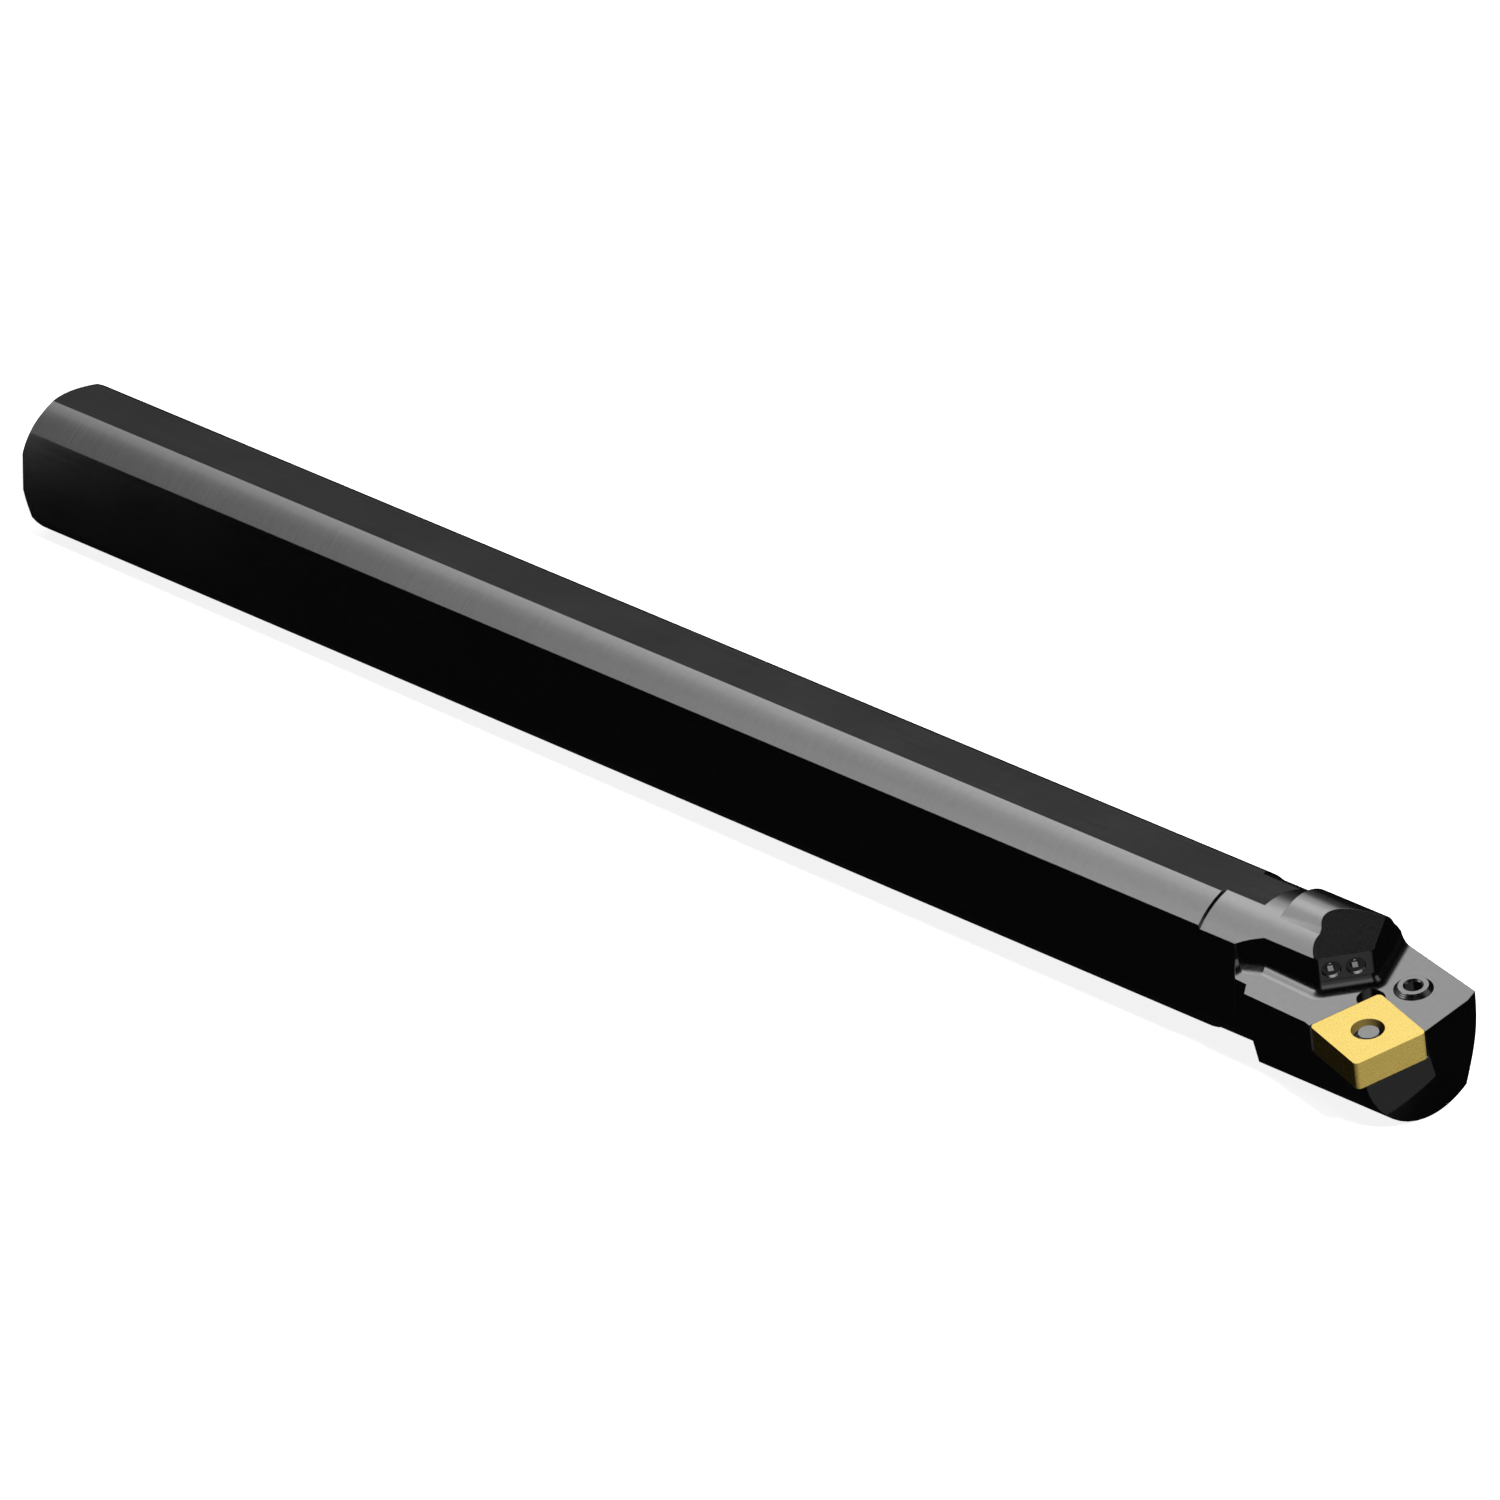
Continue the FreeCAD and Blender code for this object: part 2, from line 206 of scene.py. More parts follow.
# %% [markdown]
# ## Blackened steel, step 5: each mark in its own place
#
# Turning lines belong to the round of the shank, grinding lines to the flats and
# arcs to the head. Three materials could do that, but the bar is one piece of
# steel, and the cloud must run on from one part to the next.
#
# So one material asks each point where it lies. On the flats, z or y has reached the
# size that the shank is cut down to, and on the head x is beyond the neck. The
# answer, 0 or 1, picks the lines. On the head some of the noise stays under the arcs.

# %% Pick the lines for the flats and the head
FLAT_HEIGHT = 0.01145     # just inside the top and bottom flats
SIDE_FLAT = -0.00995      # just inside the flat on the cutting side
HEAD_START = 0.2745
ARC_SHARE = 0.7
ARC_DEPTH = 0.12
MIDDLE = 0.5              # noise swings about this value, a sine about 0


def pick(tree, factor, a, b):
    """The first value where the factor is 0, and the second where it is 1."""
    return add(tree, "ShaderNodeMix", Factor=factor, A=a, B=b).outputs[0]


height = calc(body_tree, "ABSOLUTE", z)
on_flat = calc(body_tree, "MAXIMUM",
               calc(body_tree, "GREATER_THAN", height, FLAT_HEIGHT),
               calc(body_tree, "LESS_THAN", y, SIDE_FLAT))
on_head = calc(body_tree, "GREATER_THAN", x, HEAD_START)
arcs = calc(body_tree, "ADD", calc(body_tree, "MULTIPLY", milled, ARC_DEPTH), MIDDLE)
lines = pick(body_tree, on_flat, around, lengthwise)
lines = pick(body_tree, calc(body_tree, "MULTIPLY", on_head, ARC_SHARE), lines, arcs)
print("nodes so far:", len(body_tree.nodes))


# %% [markdown]
# ## Blackened steel, step 6: worn edges
#
# A black film rubs off first where a hand or a cloth catches it: on the edges.
# There the bare steel shows as a thin, paler line.
#
# Edges could be painted by hand, or found from how pointed the mesh is, but a mesh
# with long triangles gives no clean answer to that. A bevel node does. It tells how
# the surface would face if its edges were rounded by a small radius. Away from
# edges that is how the surface faces anyway, and near them the two differ. The
# rounded direction is handed on too, and makes sharp edges catch the light softly.

# %% Find the edges of the bar
BODY_EDGE = 0.00012       # a radius of about a tenth of a millimetre
EDGE_SAMPLES = 8
SAME_WAY = 0.97           # the two directions agree: an open face
TURNED_AWAY = 0.8         # they differ: an edge


def ramp(tree, value, low, high, out_low=0.0, out_high=1.0, smooth=False):
    """Turn one range of values into another, and hold its ends."""
    node = tree.nodes.new("ShaderNodeMapRange")
    node.clamp = True
    if smooth:
        node.interpolation_type = "SMOOTHSTEP"
    for i, number in enumerate((value, low, high, out_low, out_high)):
        put(tree, node.inputs[i], number)
    return node.outputs[0]


def worn_edges(tree, radius):
    """1 on edges and 0 on open faces, and the rounded direction."""
    straight = tree.nodes.new("ShaderNodeNewGeometry").outputs["Normal"]
    bevel = add(tree, "ShaderNodeBevel", Radius=radius)
    bevel.samples = EDGE_SAMPLES
    rounded = bevel.outputs[0]
    alike = vector_calc(tree, "DOT_PRODUCT", straight, rounded)["Value"]
    return ramp(tree, alike, SAME_WAY, TURNED_AWAY), rounded


body_worn, body_rounded = worn_edges(body_tree, BODY_EDGE)
print("nodes so far:", len(body_tree.nodes))


# %% [markdown]
# ## Blackened steel, step 7: colour and roughness
#
# Seen in the light, the film is a dark grey with a satin shine. Its lines and
# clouds are so weak that they show only in the reflections, and mostly as small
# changes of roughness.
#
# A metal has no colour of its own besides its reflection, so "metallic" is 1 and
# the base colour is how much it reflects: about a third. The patterns could be
# multiplied into it, but added in small doses each of them is easier to change. A
# noise lies mostly in the middle between 0 and 1, so the helper "spread" widens
# that middle part to the range that is wanted.

# %% Mix the grey of the bar
CLOUD_ROUGHNESS = (0.215, 0.24)
LINE_ROUGHNESS = (-0.015, 0.02)
CLOUD_SHADE = (0.298, 0.31)
FINE_SHADE = (-0.006, 0.006)
BARE_STEEL = (0.5, 0.5, 0.5, 1)
BODY_WEAR = 0.35


def spread(tree, pattern, low, high, margin=0.3):
    """Widen the middle part of a noise to a range of values."""
    return ramp(tree, pattern, margin, 1 - margin, low, high)


def grey(tree, shade):
    """A grey of the given brightness."""
    colour = add(tree, "ShaderNodeCombineColor", Red=shade, Green=shade, Blue=shade)
    return colour.outputs[0]


def blend(tree, factor, a, b):
    """Mix two colours: sockets 6 and 7 are the colour inputs of the node."""
    node = tree.nodes.new("ShaderNodeMix")
    node.data_type = "RGBA"
    put(tree, node.inputs[0], factor)
    put(tree, node.inputs[6], a)
    put(tree, node.inputs[7], b)
    return node.outputs[2]


body_roughness = calc(body_tree, "ADD", spread(body_tree, cloud, *CLOUD_ROUGHNESS),
                      spread(body_tree, lines, *LINE_ROUGHNESS))
shade = calc(body_tree, "ADD", spread(body_tree, cloud, *CLOUD_SHADE),
             spread(body_tree, blotch, *FINE_SHADE))
shade = calc(body_tree, "ADD", shade, spread(body_tree, lines, *FINE_SHADE))
body_colour = blend(body_tree, calc(body_tree, "MULTIPLY", body_worn, BODY_WEAR),
                    grey(body_tree, shade), BARE_STEEL)
print("nodes so far:", len(body_tree.nodes))


# %% [markdown]
# ## Blackened steel, step 8: relief, and the finished metal
#
# The lines can just be felt with a fingernail, but they are only thousandths of a
# millimetre deep. Modelled relief would be wasted on them.
#
# A bump node leans the surface's direction by the slope of a pattern, which is
# all that an eye sees of such a groove. It starts from the rounded direction of
# step 6, so edges stay soft. All wires then meet in the node for real surfaces.

# %% Close the tree of the bar
def metal(tree, colour, roughness, relief, metallic, depth, strength, rounded):
    """Metal with a fine relief, wired to the output of the material."""
    bump = add(tree, "ShaderNodeBump", Strength=strength, Distance=depth,
               Height=relief, Normal=rounded).outputs[0]
    skin = add(tree, "ShaderNodeBsdfPrincipled", Base_Color=colour, Metallic=metallic,
               Roughness=roughness, Normal=bump)
    show(tree, skin)


def show(tree, skin):
    """Wire the last node of a tree to the output of its material."""
    add(tree, "ShaderNodeOutputMaterial", Surface=skin.outputs[0])


metal(body_tree, body_colour, body_roughness, lines, metallic=1.0,
      depth=0.0001, strength=0.06, rounded=body_rounded)
print("finished:", body_look.name, "with", len(body_tree.nodes), "nodes")


# %% [markdown]
# ## Steel of the small turned pieces
#
# The screw and the two nozzles are turned on a small lathe, and so is the round post
# of the lever. Their ends carry rings about their own axes, finer than the marks on
# the bar.
#
# Four materials could be written out, but they differ only in their name, shade,
# roughness and axis. One function makes them all, out of the helpers from above.

# %% A finish for turned pieces
FINE_CLOUD_SCALE = 600.0
LATHE_PITCH = 0.00022
SMALL_EDGE = 0.00006
CLOUD_SWING = 0.04        # share of the shade by which the clouds lighten or darken
RING_SWING = 0.02
SMALL_WEAR = 0.3
ROUGHNESS_SWING = 0.04


def turned_steel(name, shade, roughness, centre, axis):
    """Steel with turning marks about an axis through a centre."""
    look, tree = new_material(name)
    coords = place(tree)[0]
    cloud = noise(tree, coords, EVEN, FINE_CLOUD_SCALE)
    marks = rings(tree, coords, centre, axis, LATHE_PITCH)
    darkest, palest = shade * (1 - CLOUD_SWING), shade * (1 + CLOUD_SWING)
    tone = calc(tree, "ADD", spread(tree, cloud, darkest, palest),
                calc(tree, "MULTIPLY", marks, shade * RING_SWING))
    worn, rounded = worn_edges(tree, SMALL_EDGE)
    colour = blend(tree, calc(tree, "MULTIPLY", worn, SMALL_WEAR),
                   grey(tree, tone), BARE_STEEL)
    rough = spread(tree, cloud, roughness, roughness + ROUGHNESS_SWING)
    metal(tree, colour, rough, marks, metallic=1.0,
          depth=0.00005, strength=0.05, rounded=rounded)
    print("finished:", name, "with", len(tree.nodes), "nodes")
    return look


print("rings on turned pieces every", LATHE_PITCH * 1000, "mm")


# %% [markdown]
# ## Gold coloured coating of the insert
#
# The insert is pressed and sintered carbide, ground flat, under a hard yellow
# coating a few thousandths of a millimetre thick. Its grain makes it almost matt.
# The wall of the hole gets a painted shade of dark brown, and the coating is paler on edges.
#
# As pure metal it would mirror the dark room and turn brown, and as paint it would
# lack its shine. Half of each looks right, so "metallic" is 0.5. The painted shade
# in the hole needs no material of its own: the wall is where the distance from the
# hole's axis is hardly more than the radius of the hole, which is 2.58 mm.

# %% A finish for the insert
GOLD_METALLIC = 0.5
GOLD_ROUGHNESS = (0.25, 0.3)
GRAIN_SCALE = 9000.0      # grains of about a tenth of a millimetre
GRAIN_DETAIL = 2.0
GOLD_MARGIN = 0.35        # clouds and grains are spread a little more
GOLD_CLOUD_SCALE = 250.0
DEEP_GOLD = (0.96, 0.71, 0.175, 1)
PALE_GOLD = (1.0, 0.74, 0.19, 1)
GRAIN_BROWN = (0.75, 0.5, 0.1, 1)
EDGE_GOLD = (1.0, 0.85, 0.45, 1)
# painted shade: the dark brown laid over the wall of the hole
HOLE_PAINTED_SHADE = (0.05, 0.03, 0.008, 1)
GRAIN_SHARE = 0.08
INSERT_EDGE = 0.00008
EDGE_SHARE = 0.2
HOLE_RADIUS = 0.00261
HOLE_SHADE_SHARE = 0.55


def coated_carbide(hole_middle):
    """The coating, with a painted shade in the hole about a middle."""
    look, tree = new_material("coated_carbide_look")
    coords = place(tree)[0]
    grain = noise(tree, coords, EVEN, GRAIN_SCALE, GRAIN_DETAIL)
    cloud = noise(tree, coords, EVEN, GOLD_CLOUD_SCALE)
    pale = spread(tree, cloud, 0.0, 1.0, GOLD_MARGIN)
    gold = blend(tree, pale, DEEP_GOLD, PALE_GOLD)
    grains = spread(tree, grain, 0.0, GRAIN_SHARE, GOLD_MARGIN)
    gold = blend(tree, grains, gold, GRAIN_BROWN)
    worn, rounded = worn_edges(tree, INSERT_EDGE)
    gold = blend(tree, calc(tree, "MULTIPLY", worn, EDGE_SHARE), gold, EDGE_GOLD)
    # painted shade: the wall of the hole is darkened towards brown
    reach = reach_from(tree, coords, hole_middle, RAKE_NORMAL)
    in_hole = calc(tree, "LESS_THAN", reach, HOLE_RADIUS)
    gold = blend(tree, calc(tree, "MULTIPLY", in_hole, HOLE_SHADE_SHARE), gold, HOLE_PAINTED_SHADE)
    rough = spread(tree, grain, *GOLD_ROUGHNESS)
    metal(tree, gold, rough, grain, metallic=GOLD_METALLIC,
          depth=0.00005, strength=0.05, rounded=rounded)
    print("finished:", look.name, "with", len(tree.nodes), "nodes")
    return look


print("the hole of the insert is taken as", HOLE_RADIUS * 2000, "mm wide")


# %% [markdown]
# ## Find the axes of the small pieces
#
# Turning marks look wrong at once if they miss the middle of their piece. The
# middles could be typed in, but then they would stay behind if a piece moved.
#
# So they are measured on the meshes. The far end of a piece is the group of points
# that lie furthest along its axis, and half way between the least and the greatest
# of them is its middle. Lever, screw and insert stand square to the rake face. The
# nozzles lean their own way: a cylinder's largest flat is its end, so the areas of
# all faces that look the same way are added up, and the largest sum wins.

# %% Measure middles and axes
END_DEPTH = 0.00005       # points this close to the furthest one belong to the end


def end_middle(node, axis):
    """Middle of the end of a piece that lies furthest along an axis."""
    points = [point.co for point in nodes[node].data.vertices]
    furthest = max(point.dot(axis) for point in points)
    end = [point for point in points if point.dot(axis) > furthest - END_DEPTH]
    least = Vector([min(parts) for parts in zip(*end)])
    greatest = Vector([max(parts) for parts in zip(*end)])
    return (least + greatest) / 2


def turning_axis(node):
    """The way out of the largest flat end of a turned piece, towards the front."""
    flats = {}
    for face in nodes[node].data.polygons:
        way = face.normal if face.normal.x > 0 else -face.normal
        key = tuple(round(part, 2) for part in way)
        area, total = flats.get(key, (0.0, Vector()))
        flats[key] = (area + face.area, total + way * face.area)
    return max(flats.values(), key=lambda flat: flat[0])[1].normalized()


hole_middle = end_middle("insert", RAKE_NORMAL)
post_middle = end_middle("clamp_lever", RAKE_NORMAL)
screw_middle = end_middle("clamp_screw", RAKE_NORMAL)
nozzle_axes = {name: turning_axis(name) for name in ("outer_nozzle", "inner_nozzle")}
print("middles:", hole_middle, post_middle, screw_middle)
print("nozzle axes:", nozzle_axes)


# %% [markdown]
# ## Dress the solids
#
# Each solid now gets its finish: the bar blackened, the insert coated, the lever
# bare, the screw a little paler than the bar because its top is ground, and the
# nozzles darker.
#
# Real pieces mirror each other. Here every piece is hidden from reflections, since
# in the photo that this bar follows none does: its steel shows the bright sheets
# above it and black everywhere else. That also keeps the insert's gold out of the
# steel around it.

# %% Put the materials on
def dress(node, look):
    """Give a solid its material and keep it out of reflections."""
    nodes[node].visible_glossy = False
    nodes[node].data.materials.clear()
    nodes[node].data.materials.append(look)


dress("bar_body", body_look)
dress("insert", coated_carbide(hole_middle))
dress("clamp_lever", turned_steel("lever_look", shade=0.34, roughness=0.26,
                                  centre=post_middle, axis=RAKE_NORMAL))
dress("clamp_screw", turned_steel("screw_look", shade=0.33, roughness=0.24,
                                  centre=screw_middle, axis=RAKE_NORMAL))
for name, axis in nozzle_axes.items():
    dress(name, turned_steel(name + "_look", shade=0.2, roughness=0.24,
                             centre=end_middle(name, axis), axis=axis))
print("materials:", sorted(look.name for look in bpy.data.materials))


# %% [markdown]
# ## Thread of the coolant inlet, step 1: one tooth
#
# In the middle of the rear face is a tapped hole for a hose fitting. Coolant runs
# from it through the bar to the two nozzles. The solid has the plain hole, as wide
# as the mount of the fitting needs it, so the crests of the thread are added here.
#
# Stacked rings would look alike at a glance, but a tap cuts one single groove that
# winds along the hole. A true winding crest is no more work: it starts with its
# section, a flat triangle whose base lies a hair inside the wall of the hole and
# whose tip stands a little into the opening.

# %% Draw the section of the crest
ROOT_RADIUS = 0.00442
CREST_RADIUS = 0.00428
HALF_WIDTH = 0.00026
FIRST_CREST = 0.0006      # depth of the first crest behind the rear face

tooth = bmesh.new()
corners = [tooth.verts.new(corner) for corner in (
    (FIRST_CREST - HALF_WIDTH, 0, ROOT_RADIUS),
    (FIRST_CREST, 0, CREST_RADIUS),
    (FIRST_CREST + HALF_WIDTH, 0, ROOT_RADIUS))]
sides = [tooth.edges.new((corners[i], corners[(i + 1) % 3])) for i in range(3)]
print("the crest stands", round((ROOT_RADIUS - CREST_RADIUS) * 1000, 2), "mm high")


# %% [markdown]
# ## Thread of the coolant inlet, step 2: wind it
#
# The tap turns and moves forward at the same time, by one pitch in each turn.
#
# The spin operator does the same. It turns the triangle about the bar's axis in
# small steps, moves it a little along the hole at each of them, and joins each new
# triangle to the last. What is left open is one triangle at either end, which is
# filled. A spin may leave a shape inside out, so its faces are turned outwards last.

# %% Spin the crest along the hole
THREAD_PITCH = 0.000907
THREAD_TURNS = 12
STEPS_PER_TURN = 32

bmesh.ops.spin(tooth, geom=corners + sides, cent=(0, 0, 0), axis=(1, 0, 0),
               dvec=(THREAD_PITCH / STEPS_PER_TURN, 0, 0),
               angle=2 * math.pi * THREAD_TURNS,
               steps=STEPS_PER_TURN * THREAD_TURNS, use_merge=False)
open_ends = [edge for edge in tooth.edges if edge.is_boundary]
bmesh.ops.holes_fill(tooth, edges=open_ends, sides=3)
bmesh.ops.recalc_face_normals(tooth, faces=tooth.faces)
print("faces:", len(tooth.faces), "steel in mm3:", round(tooth.calc_volume() * 1e9, 2))


# %% [markdown]
# ## Thread of the coolant inlet, step 3: make it a piece
#
# On the real bar the thread is cut from the same steel, so it moves with the bar and
# has its finish. It could be joined to the bar's mesh, but that mesh stays as it
# came. So it is a piece of its own that rides on the bar and names the bar's metal.

# %% Hang the thread on the bar
thread_mesh = bpy.data.meshes.new("inlet_thread")
tooth.to_mesh(thread_mesh)
tooth.free()
thread_mesh.materials.append(body_look)
inlet_thread = bpy.data.objects.new("inlet_thread", thread_mesh)
inlet_thread.visible_glossy = False
bpy.context.collection.objects.link(inlet_thread)
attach(inlet_thread, "bar")
print("thread runs to a depth of",
      round(max(point.co.x for point in thread_mesh.vertices) * 1000, 1), "mm")


# %% [markdown]
# ## The floor
#
# The bar lies on a table. It touches it with the lowest line of its head and with
# the rear end of its lower flat, because the head is a little deeper than the shank.
#
# The bar could be tilted until it lies level, but it stays in its own frame, so
# the floor leans instead, by half a degree, which nobody sees. It is one square,
# large enough to fill the picture from any side.

# %% Lay the floor under the bar
REAR_EDGE = Vector((0.001, 0.0, -0.0115))
HEAD_LOW = Vector((0.273, 0.0, -0.014))
FLOOR_REACH = 12


def sheet(name, corners):
    """A flat sheet with four corners."""
    mesh = bpy.data.meshes.new(name)
    flat = bmesh.new()
    flat.faces.new([flat.verts.new(corner) for corner in corners])
    flat.to_mesh(mesh)
    flat.free()
    board = bpy.data.objects.new(name, mesh)
    bpy.context.collection.objects.link(board)
    return board


forward = (HEAD_LOW - REAR_EDGE).normalized() * FLOOR_REACH
sideways = Vector((0, 1, 0)) * FLOOR_REACH
floor = sheet("floor", [REAR_EDGE - forward - sideways, REAR_EDGE + forward - sideways,
                        REAR_EDGE + forward + sideways, REAR_EDGE - forward + sideways])
print("floor drops by", round(math.degrees(math.atan2(-forward.z, forward.x)), 2),
      "degrees towards the head")


# %% [markdown]
# ## White of the floor
#
# In the photo the bar stands on pure white without a horizon. A white floor alone
# would turn grey away from the lamps, and it would light the bar from below, which
# is black in the photo.
#
# So the floor is told which ray asks. To the camera it is matt white with a glow,
# just bright enough to leave a faint shadow under the bar, and to every other ray
# it is clear as air.

# %% Make the floor white for the camera only
FLOOR_WHITE = (0.8, 0.8, 0.8, 1)
FLOOR_GLOW = 0.88
WHITE = (1, 1, 1, 1)


def for_camera(tree, seen, unseen):
    """One look for what the camera sees, and another for all other rays."""
    ray = tree.nodes.new("ShaderNodeLightPath").outputs["Is Camera Ray"]
    switch = tree.nodes.new("ShaderNodeMixShader")
    for socket, value in zip(switch.inputs, (ray, unseen.outputs[0], seen.outputs[0])):
        put(tree, socket, value)
    return switch


floor_look, tree = new_material("floor_look")
matt = add(tree, "ShaderNodeBsdfDiffuse", Color=FLOOR_WHITE)
glow = add(tree, "ShaderNodeEmission", Color=WHITE, Strength=FLOOR_GLOW)
bright = tree.nodes.new("ShaderNodeAddShader")
put(tree, bright.inputs[0], matt.outputs[0])
put(tree, bright.inputs[1], glow.outputs[0])
clear = tree.nodes.new("ShaderNodeBsdfTransparent")
show(tree, for_camera(tree, bright, clear))
floor.data.materials.append(floor_look)
print("finished:", floor_look.name, "with", len(tree.nodes), "nodes")


# %% [markdown]
# ## Two lamps for the insert and the shadow
#
# The insert's top and front are bright and its left side is nearly black, so its
# light comes from the right and in front of the head. One lamp from there is
# enough. A weak wide one above the bar softens the shadow on the floor.
#
# Lamps also show as bright squares in steel. These two are hidden from reflections,
# so the steel takes its light from the sheets of the next step alone, and either
# can be changed without the other. The helper asks how bright the face of a lamp is
# and works out its power from its size.

# %% Set up the lamps
HEAD = Vector((0.285, 0.0, 0.0))
KEY_WAY = Vector((0.66, -0.22, 0.72))
KEY_DISTANCE = 2.5


def lamp(name, middle, target, size, strength):
    """Square lamp that faces a target and hides from reflections."""
    light = bpy.data.lights.new(name, "AREA")
    light.size = size
    light.energy = strength * math.pi * size * size
    body = bpy.data.objects.new(name, light)
    towards = (middle - target).to_track_quat("Z", "Y")
    body.matrix_world = towards.to_matrix().to_4x4()
    body.location = middle
    body.visible_glossy = False
    bpy.context.collection.objects.link(body)
    print(name, "lamp of", round(light.energy, 1), "watts")


lamp("key", HEAD + KEY_WAY * KEY_DISTANCE, HEAD, size=0.4, strength=149.0)
lamp("fill", Vector((-0.3, -0.2, 2.0)), Vector((0.15, 0.0, 0.0)), size=1.5, strength=1.0)


# %% [markdown]
# ## Glowing sheets for the steel, step 1: how a sheet works
#
# Bare or black, steel shows what is around it. In a studio large white sheets hang
# over such a tool, and their edges give the soft steps of light on a round bar.
#
# A picture of a room could be wrapped around the scene, but its bright spots would
# fall where they like. A sheet with a glow that is a function of place can be fitted
# to the photo: each point of the steel mirrors one point of the sheet, so its
# shade says how bright the sheet has to be there. A sheet is seen by reflections
# only, it casts no shadow and it lights nothing else.

# %% A sheet that only steel sees
def glowing_sheet(name, corners, glow):
    """Sheet with a glow that follows x, y and z, for reflections only."""
    board = sheet(name, corners)
    look, tree = new_material(name + "_glow")
    look.cycles.emission_sampling = "NONE"
    coords, x, y, z = place(tree)
    show(tree, add(tree, "ShaderNodeEmission", Color=WHITE, Strength=glow(tree, x, y, z)))
    board.data.materials.append(look)
    board.visible_camera = False
    board.visible_diffuse = False
    board.visible_shadow = False
    board.visible_transmission = False
    print(name, "corners:", [tuple(round(part, 2) for part in corner) for corner in corners])


# %% [markdown]
# ## Glowing sheets for the steel, step 2: the roof
#
# The upper side of the bar mirrors the space above and beyond it. In the photo it
# has a pale strip that darkens towards the rear, a dark top flat that pales near
# the head, a medium grey rake face and a bright band on the hump of the turret.
#
# The shades were measured along and across the bar, and each was traced back to
# the place on a level sheet that it mirrors. The glow is put together from simple
# ramps. Each line below says from where to where a ramp runs in metres, and what
# it is worth at its two ends.

# %% Glow of the roof
ALONG_BAR = (-0.65, -0.2, 0.03, 0.88)          # over x: brighter towards the head
BAND_RISE = (-0.13, 0.08, 0.0, 1.0)            # over y: a band beside the bar
BAND_FALL = (0.16, 0.34, 0.55, 0.09)
NEAR_SIDE = (-0.31, -0.71, 0.0, 0.62)          # over y: the camera's side
NEAR_ALONG = (-0.78, -0.42, 0.08, 1.0)         # over x: dark at the rear
HEAD_END = (-0.06, 0.12, 1.0, 0.0)             # over x: the glow ends before the head
FAR_END = (0.39, 0.70, 1.0, 0.0)               # over y: and on the far side
FAR_REST = (1.1, 2.0, 0.07, 0.0)               # over y: a dim rest for the top flat
REST_ALONG = (-0.1, 0.15, 1.0, 0.35)
ROOF_STRENGTH = 1.03


def times(tree, a, b):
    """The product of two glows."""
    return calc(tree, "MULTIPLY", a, b)


def plus(tree, a, b):
    """The sum of two glows."""
    return calc(tree, "ADD", a, b)


def roof_glow(tree, x, y, z):
    """Bright before the head, with a band along the bar, fading to the rear."""
    band = times(tree, ramp(tree, y, *BAND_RISE, smooth=True),
                 ramp(tree, y, *BAND_FALL, smooth=True))
    near = times(tree, ramp(tree, y, *NEAR_SIDE), ramp(tree, x, *NEAR_ALONG))
    total = plus(tree, plus(tree, ramp(tree, x, *ALONG_BAR), band), near)
    total = times(tree, total, ramp(tree, x, *HEAD_END, smooth=True))
    total = times(tree, total, ramp(tree, y, *FAR_END, smooth=True))
    rest = times(tree, ramp(tree, y, *FAR_REST), ramp(tree, x, *REST_ALONG))
    return times(tree, plus(tree, total, rest), ROOF_STRENGTH)


ROOF_HEIGHT = 0.6
ROOF_X = (-2.2, 0.3)
ROOF_Y = (-0.9, 2.0)
glowing_sheet("roof_card", [(ROOF_X[0], ROOF_Y[0], ROOF_HEIGHT),
                            (ROOF_X[1], ROOF_Y[0], ROOF_HEIGHT),
                            (ROOF_X[1], ROOF_Y[1], ROOF_HEIGHT),
                            (ROOF_X[0], ROOF_Y[1], ROOF_HEIGHT)], roof_glow)


# %% [markdown]
# ## Glowing sheets for the steel, step 3: small sheets for the head
#
# The head has faces that look elsewhere: the slanted brow and the nozzle face of
# the turret, the pale facet under the insert, and the cheek beside the screw.
#
# A second roof would light all of them alike, but each has a shade of its own. So
# there is a sheet where a look in the mirror of that face ends up. Such a place is
# easiest to give as seen from the head, like a star in the sky: between two
# bearings and two heights in degrees, at a distance. The sheet in front is
# brightest at the height of the camera, and the others are even.

# %% Sheets in front of, below and behind the head
SHEET_DISTANCE = 2.5
FRONT_LOW = (0.0, 0.5, 0.13, 0.36)             # over z: faint below the bar
FRONT_HIGH = (1.1, 1.5, 1.0, 0.15)             # over z: fading above the camera


def window(bearings, heights, distance=SHEET_DISTANCE):
    """Corners of a sheet, as seen from the head, in degrees."""
    corners = []
    for b, h in ((0, 0), (1, 0), (1, 1), (0, 1)):
        bearing, height = math.radians(bearings[b]), math.radians(heights[h])
        level = math.cos(height)
        way = Vector((level * math.cos(bearing), level * math.sin(bearing), math.sin(height)))
        corners.append(HEAD + way * distance)
    return corners


def front_glow(tree, x, y, z):
    """Faint below the bar, brighter towards the height of the camera."""
    return times(tree, ramp(tree, z, *FRONT_LOW), ramp(tree, z, *FRONT_HIGH))


def even(strength):
    """A glow that is the same everywhere."""
    return lambda tree, x, y, z: strength


glowing_sheet("front_card", window((-46, -28), (-28, 37)), front_glow)
glowing_sheet("low_card", window((-42, 32), (-52, -30), 2.6), even(0.10))
glowing_sheet("far_card", window((12, 56), (3, 42), 2.7), even(0.28))


# %% [markdown]
# ## Glowing sheets for the steel, step 4: the rear face
#
# The photo hides the rear face, but someone who walks around the bar should see
# the inlet and its thread. A large light from behind would also reach the sides
# that are black in the photo.
#
# A low strip close behind the bar does it: only the rear face mirrors it. The sides
# of the bar look past it and stay black.

# %% Sheet behind the bar
REAR_X = -0.06
REAR_Y = (-0.14, 0.06)
REAR_Z = (-0.028, 0.01)
glowing_sheet("rear_card", [(REAR_X, REAR_Y[0], REAR_Z[0]), (REAR_X, REAR_Y[1], REAR_Z[0]),
                            (REAR_X, REAR_Y[1], REAR_Z[1]), (REAR_X, REAR_Y[0], REAR_Z[1])],
              even(0.35))


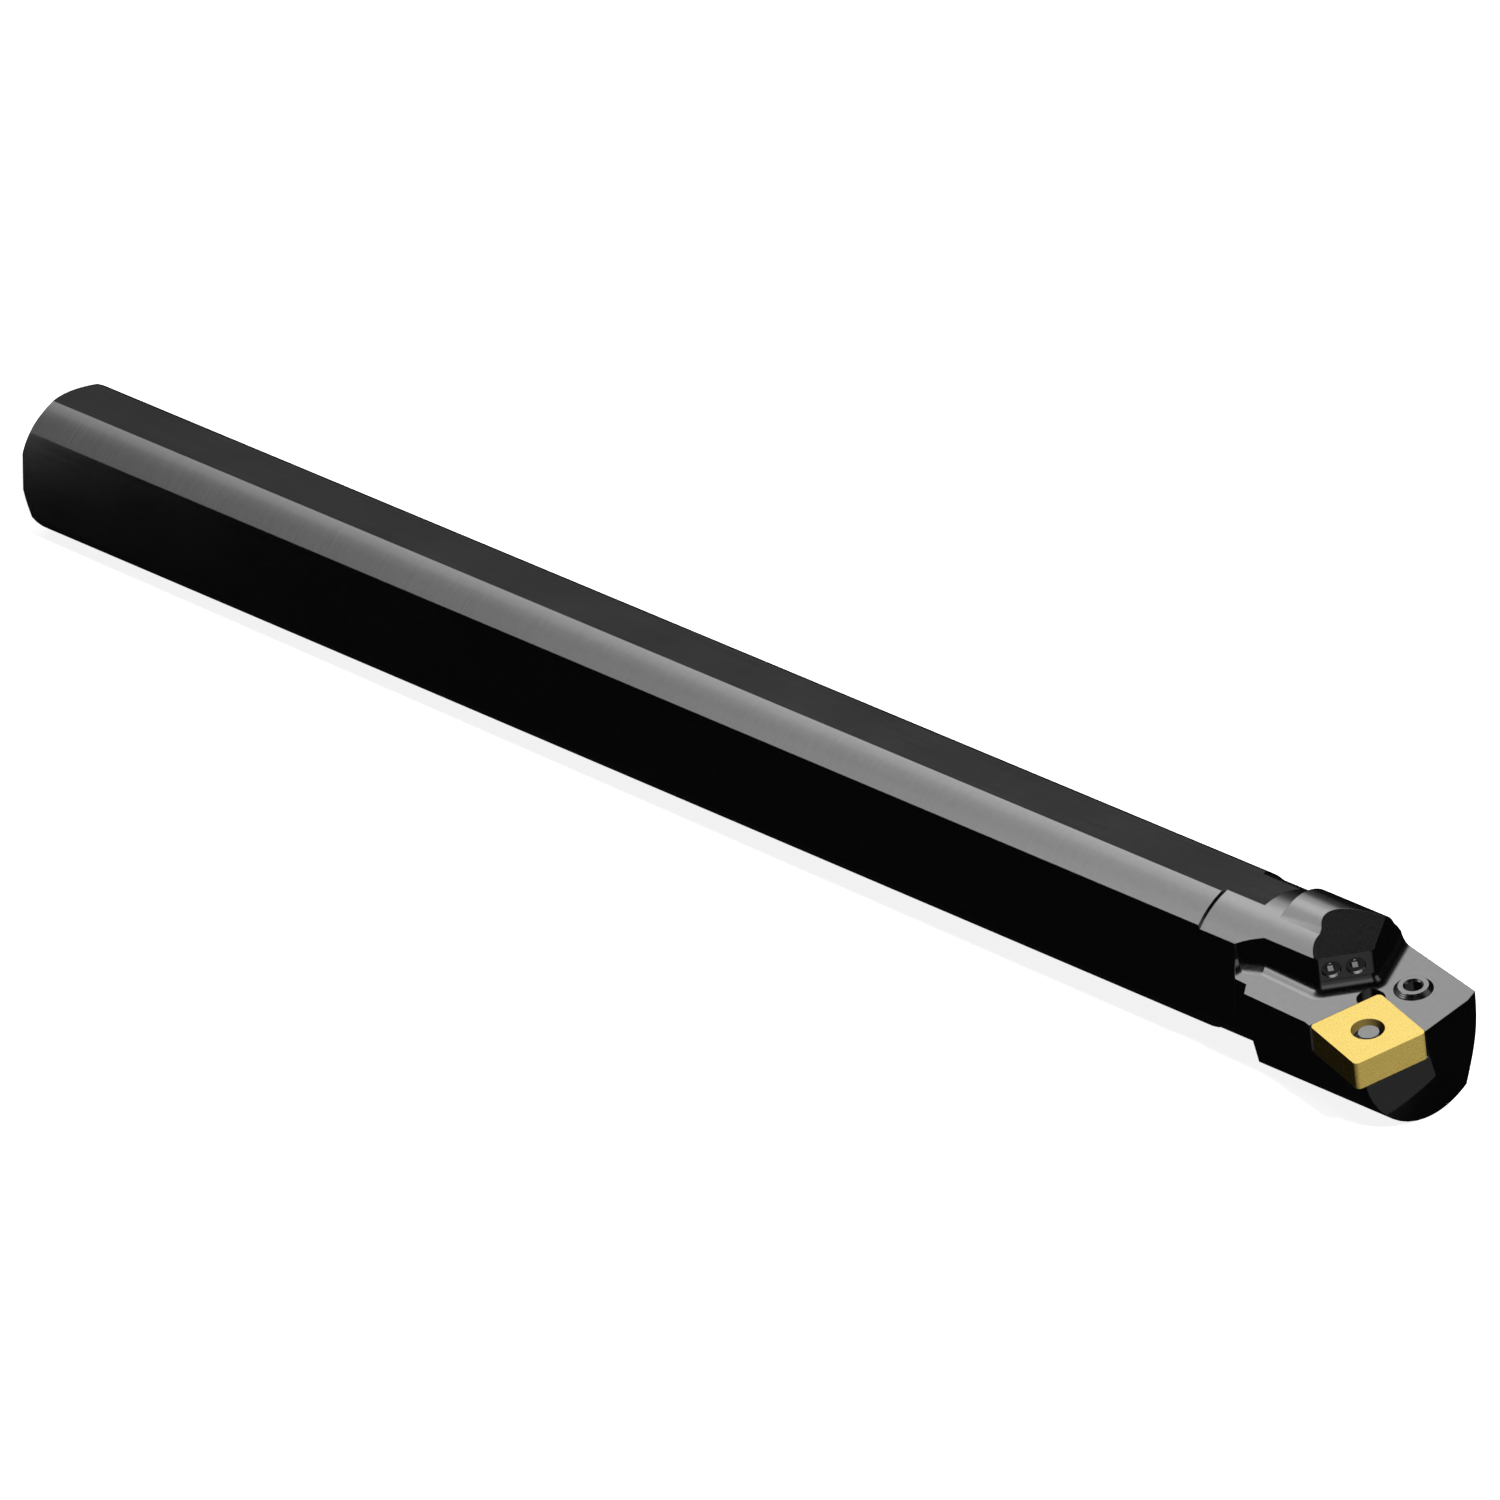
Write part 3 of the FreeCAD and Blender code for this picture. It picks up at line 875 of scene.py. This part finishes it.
# %% [markdown]
# ## The white behind the bar
#
# Above the floor's far edge the photo goes on in white. A white world would light
# all the steel and wash out the black, so it is white for the camera and almost
# black for everything else. The little that is left keeps the darkest faces from
# being a hole in the picture.

# %% Paint the world
NEARLY_BLACK = (0.005, 0.005, 0.005, 1)

world = bpy.data.worlds.new("world")
bpy.context.scene.world = world
world.use_nodes = True
tree = world.node_tree
tree.nodes.clear()
white = add(tree, "ShaderNodeBackground", Color=WHITE, Strength=1.0)
dim = add(tree, "ShaderNodeBackground", Color=NEARLY_BLACK, Strength=1.0)
add(tree, "ShaderNodeOutputWorld", Surface=for_camera(tree, white, dim).outputs[0])
print("nodes of the world:", len(tree.nodes))


# %% [markdown]
# ## The camera
#
# The photo looks at the head from its front and from the side of the cutting edge,
# from above and from far away through a long lens, so that the bar's edges run
# almost parallel.
#
# A camera could be moved by eye until the outlines agree, but a long lens forgives
# little. Instead the corners of the insert, the middles of the nozzles and the edges
# of the shank were marked in the photo, and place, direction, roll and lens were
# solved from them. The direction is built from three arrows: back towards the
# camera, to the right, and up. The view transform "Standard" shows the colours as
# they are, without a film look over them.

# %% Place the camera as fitted
BEARING = math.radians(-45.359)
HEIGHT = math.radians(25.139)
ROLL = math.radians(0.151)
CAMERA_PLACE = Vector((1.708182, -1.571922, 1.035240))
FOCAL_PIXELS = 15636.511
PICTURE_PIXELS = 1500
SENSOR = 36.0

back = Vector((math.cos(HEIGHT) * math.cos(BEARING),
               math.cos(HEIGHT) * math.sin(BEARING), math.sin(HEIGHT)))
level = Vector((-math.sin(BEARING), math.cos(BEARING), 0))
upward = back.cross(level)
right = level * math.cos(ROLL) + upward * math.sin(ROLL)
up = upward * math.cos(ROLL) - level * math.sin(ROLL)
stand = Matrix((right, up, back)).transposed().to_4x4()
stand.translation = CAMERA_PLACE

lens = bpy.data.cameras.new("camera")
lens.sensor_width = SENSOR
lens.lens = FOCAL_PIXELS / PICTURE_PIXELS * SENSOR
lens.clip_end = 100.0
camera = bpy.data.objects.new("camera", lens)
camera.matrix_world = stand
bpy.context.collection.objects.link(camera)
bpy.context.scene.camera = camera
bpy.context.scene.view_settings.view_transform = "Standard"
print("lens in mm:", round(lens.lens, 1), "distance in m:",
      round((CAMERA_PLACE - HEAD).length, 2))
